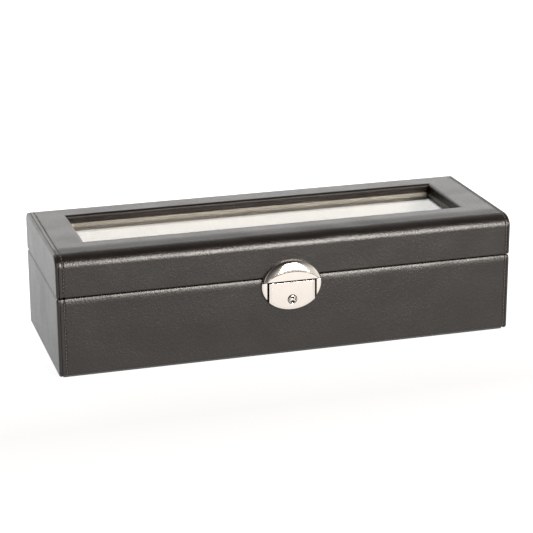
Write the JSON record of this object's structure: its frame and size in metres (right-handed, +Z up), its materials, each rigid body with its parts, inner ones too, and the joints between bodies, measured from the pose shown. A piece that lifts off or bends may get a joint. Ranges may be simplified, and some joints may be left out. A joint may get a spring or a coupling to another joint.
{
  "type": "watch box",
  "caption": "Long leather-covered box with a glazed lid hinged along the back, an oval push-button lock and a row of watch cushions.",
  "frame": {"origin": "centre of the flat underside, on the surface that the box rests on", "axes": "+X along the length, to the right seen from the front; +Y towards the hinges at the back; +Z up"},
  "size_m": [0.32, 0.1221, 0.084],
  "materials": {
    "leather": "fine pebbled grain, near black, slight sheen",
    "board": "raw fibreboard",
    "lining": "cream suede cloth",
    "cushion": "cream suede cloth, padded",
    "bottom_cloth": "black felt",
    "glass": "clear float glass",
    "nickel": "polished nickel plate",
    "steel": "plated steel"
  },
  "bodies": {
    "base": {"base_floor_board": "board", "base_front_board": "board", "base_back_board": "board", "base_left_board": "board", "base_right_board": "board", "base_front_leather": "leather", "base_back_leather": "leather", "base_left_leather": "leather", "base_right_leather": "leather", "bottom_cloth": "bottom_cloth", "floor_lining": "lining", "base_lining": "lining", "divider_1": "lining", "divider_2": "lining", "divider_3": "lining", "divider_4": "lining", "divider_5": "lining", "lock_body": "nickel", "latch_pin": "steel", "button_spring": "steel", "hinge_1_base_leaf": "steel", "hinge_1_pin": "steel", "hinge_1_base_screw_1": "steel", "hinge_1_base_screw_2": "steel", "hinge_2_base_leaf": "steel", "hinge_2_pin": "steel", "hinge_2_base_screw_1": "steel", "hinge_2_base_screw_2": "steel"},
    "lid": {"lid_front_board": "board", "lid_back_board": "board", "lid_left_board": "board", "lid_right_board": "board", "lid_top_board": "board", "lid_wrap_leather": "leather", "lid_left_leather": "leather", "lid_right_leather": "leather", "glass_pane": "glass", "glass_frame": "lining", "lid_lining": "lining", "lock_lid_plate": "nickel", "lock_hook": "steel", "hinge_1_lid_leaf": "steel", "hinge_1_lid_screw_1": "steel", "hinge_1_lid_screw_2": "steel", "hinge_2_lid_leaf": "steel", "hinge_2_lid_screw_1": "steel", "hinge_2_lid_screw_2": "steel"},
    "button": {"push_button": "nickel"},
    "key": {"key_cylinder": "nickel"},
    "latch": {"latch_lever": "steel"},
    "cushion_1": {"cushion_1": "cushion"},
    "cushion_2": {"cushion_2": "cushion"},
    "cushion_3": {"cushion_3": "cushion"},
    "cushion_4": {"cushion_4": "cushion"},
    "cushion_5": {"cushion_5": "cushion"},
    "cushion_6": {"cushion_6": "cushion"}
  },
  "joints": [
    {"name": "lid_hinge", "type": "hinge", "parent": "base", "child": "lid", "pos_m": [0, 0.0585, 0.05575], "axis": [-1, 0, 0], "range_deg": [0, 100]},
    {"name": "button_press", "type": "slide", "parent": "base", "child": "button", "axis": [0, 1, 0], "range_m": [0, 0.0018], "stiffness_N_per_m": 900, "springref_m": -0.001},
    {"name": "key_turn", "type": "hinge", "parent": "button", "child": "key", "pos_m": [0, -0.0584, 0.0405], "axis": [0, -1, 0], "range_deg": [0, 90]},
    {"name": "latch_swing", "type": "hinge", "parent": "base", "child": "latch", "pos_m": [0, -0.0521, 0.043], "axis": [1, 0, 0], "range_deg": [0, 13]},
    {"name": "cushion_1_lift", "type": "slide", "parent": "base", "child": "cushion_1", "axis": [0, 0, 1], "range_m": [0, 0.024]},
    {"name": "cushion_2_lift", "type": "slide", "parent": "base", "child": "cushion_2", "axis": [0, 0, 1], "range_m": [0, 0.024]},
    {"name": "cushion_3_lift", "type": "slide", "parent": "base", "child": "cushion_3", "axis": [0, 0, 1], "range_m": [0, 0.024]},
    {"name": "cushion_4_lift", "type": "slide", "parent": "base", "child": "cushion_4", "axis": [0, 0, 1], "range_m": [0, 0.024]},
    {"name": "cushion_5_lift", "type": "slide", "parent": "base", "child": "cushion_5", "axis": [0, 0, 1], "range_m": [0, 0.024]},
    {"name": "cushion_6_lift", "type": "slide", "parent": "base", "child": "cushion_6", "axis": [0, 0, 1], "range_m": [0, 0.024]}
  ],
  "couplings": [
    {"joint": "latch_swing", "follows": "button_press", "rad_per_m": 125}
  ]
}
